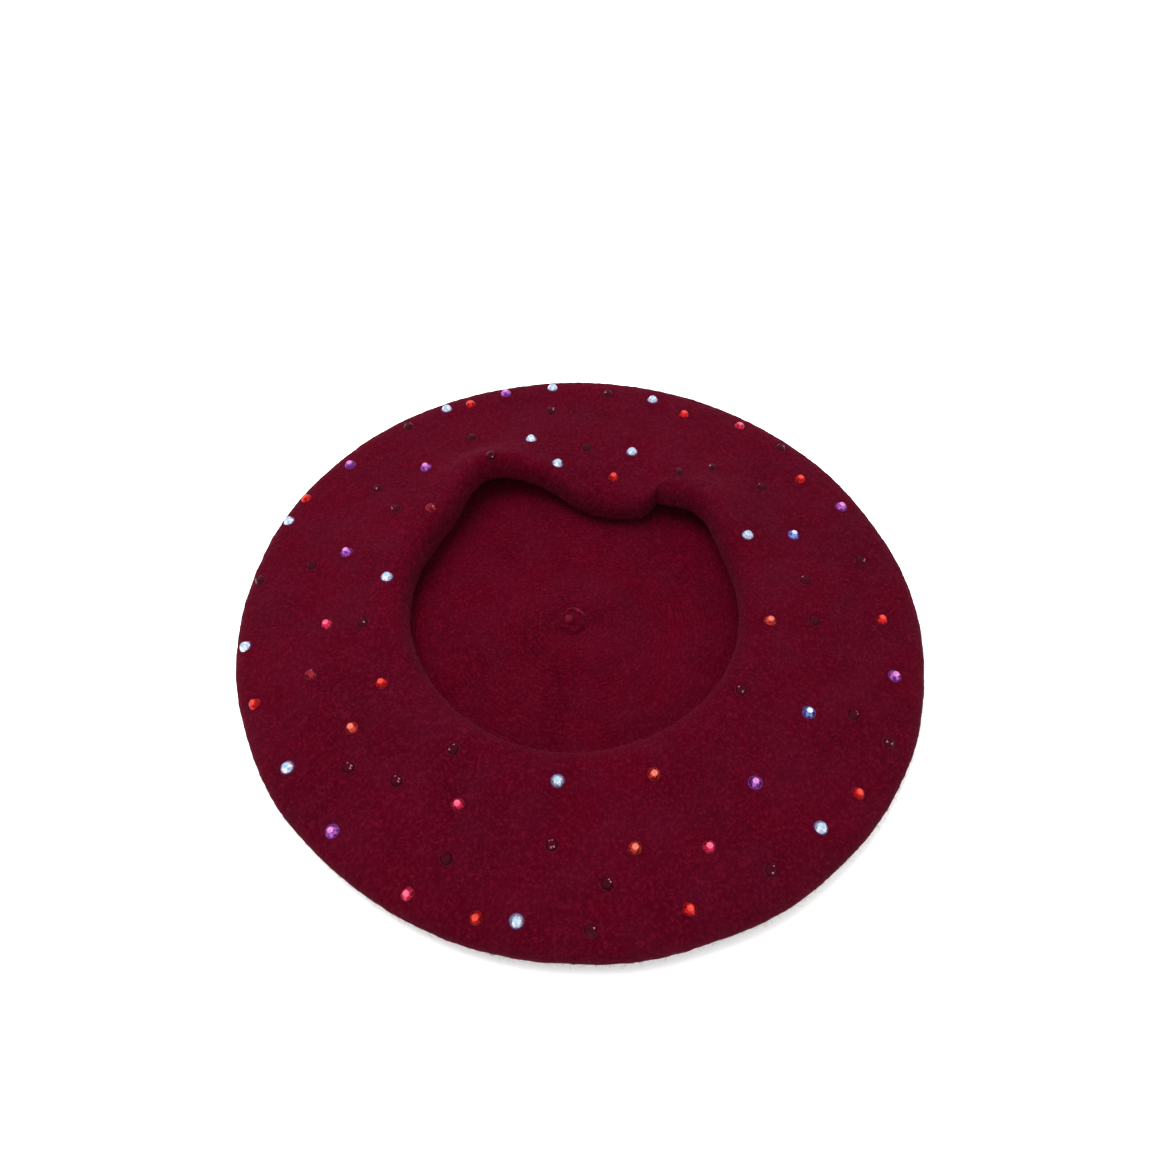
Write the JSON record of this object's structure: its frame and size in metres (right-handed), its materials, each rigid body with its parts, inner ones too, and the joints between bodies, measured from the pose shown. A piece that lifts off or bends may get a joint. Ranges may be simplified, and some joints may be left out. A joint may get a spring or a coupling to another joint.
{
  "type": "beret",
  "caption": "Flat round wool felt beret lying on its crown, soft rolled head opening facing up, small folded stalk, faceted flat-backed rhinestones over the underside.",
  "frame": {"origin": "middle of the hat, on the plane that the crown's outside rests on", "axes": "+Z out of the head opening (the hat lies on its crown), +X and +Y across the hat, with the drooping stretch of the lip towards +Y"},
  "size_m": [0.2808, 0.2792, 0.0264],
  "materials": {
    "felt": "brushed, fulled wool",
    "elastic": "braided cord",
    "thread": "spun sewing thread",
    "rhinestone_crystal": "faceted, foil-backed",
    "rhinestone_red": "faceted, foil-backed",
    "rhinestone_orange": "faceted, foil-backed",
    "rhinestone_pink": "faceted, foil-backed",
    "rhinestone_violet": "faceted, foil-backed",
    "rhinestone_blue": "faceted, foil-backed",
    "rhinestone_garnet": "faceted, foil-backed"
  },
  "bodies": {
    "hat": {"centre_knot": "felt", "crown": "felt", "hem_elastic": "elastic", "hem_stitching": "thread", "rhinestone_blue_01": "rhinestone_blue", "rhinestone_blue_02": "rhinestone_blue", "rhinestone_crystal_01": "rhinestone_crystal", "rhinestone_crystal_02": "rhinestone_crystal", "rhinestone_crystal_03": "rhinestone_crystal", "rhinestone_crystal_04": "rhinestone_crystal", "rhinestone_crystal_05": "rhinestone_crystal", "rhinestone_crystal_06": "rhinestone_crystal", "rhinestone_crystal_07": "rhinestone_crystal", "rhinestone_crystal_08": "rhinestone_crystal", "rhinestone_crystal_09": "rhinestone_crystal", "rhinestone_crystal_10": "rhinestone_crystal", "rhinestone_crystal_11": "rhinestone_crystal", "rhinestone_crystal_12": "rhinestone_crystal", "rhinestone_crystal_13": "rhinestone_crystal", "rhinestone_crystal_14": "rhinestone_crystal", "rhinestone_garnet_01": "rhinestone_garnet", "rhinestone_garnet_02": "rhinestone_garnet", "rhinestone_garnet_03": "rhinestone_garnet", "rhinestone_garnet_04": "rhinestone_garnet", "rhinestone_garnet_05": "rhinestone_garnet", "rhinestone_garnet_06": "rhinestone_garnet", "rhinestone_garnet_07": "rhinestone_garnet", "rhinestone_garnet_08": "rhinestone_garnet", "rhinestone_orange_01": "rhinestone_orange", "rhinestone_orange_02": "rhinestone_orange", "rhinestone_orange_03": "rhinestone_orange", "rhinestone_orange_04": "rhinestone_orange", "rhinestone_pink_01": "rhinestone_pink", "rhinestone_pink_02": "rhinestone_pink", "rhinestone_pink_03": "rhinestone_pink", "rhinestone_pink_04": "rhinestone_pink", "rhinestone_pink_05": "rhinestone_pink", "rhinestone_red_01": "rhinestone_red", "rhinestone_red_02": "rhinestone_red", "rhinestone_red_03": "rhinestone_red", "rhinestone_red_04": "rhinestone_red", "rhinestone_red_05": "rhinestone_red", "rhinestone_red_06": "rhinestone_red", "rhinestone_red_07": "rhinestone_red", "rhinestone_red_08": "rhinestone_red", "rhinestone_red_09": "rhinestone_red", "rhinestone_red_10": "rhinestone_red", "rhinestone_red_11": "rhinestone_red", "rhinestone_red_12": "rhinestone_red", "rhinestone_red_13": "rhinestone_red", "rhinestone_violet_01": "rhinestone_violet", "rhinestone_violet_02": "rhinestone_violet", "rhinestone_violet_03": "rhinestone_violet", "rhinestone_violet_04": "rhinestone_violet", "rhinestone_violet_05": "rhinestone_violet", "rhinestone_violet_06": "rhinestone_violet", "rhinestone_violet_07": "rhinestone_violet", "rhinestone_violet_08": "rhinestone_violet", "underside": "felt"},
    "stalk": {"stalk": "felt"}
  },
  "joints": [
    {"name": "stalk_flex", "type": "hinge", "parent": "hat", "child": "stalk", "pos_m": [-0.0035, 0, 0.0015], "axis": [0, 1, 0], "range_deg": [0, 85], "stiffness_Nm_per_rad": 0.0002, "springref_deg": 74.48}
  ]
}
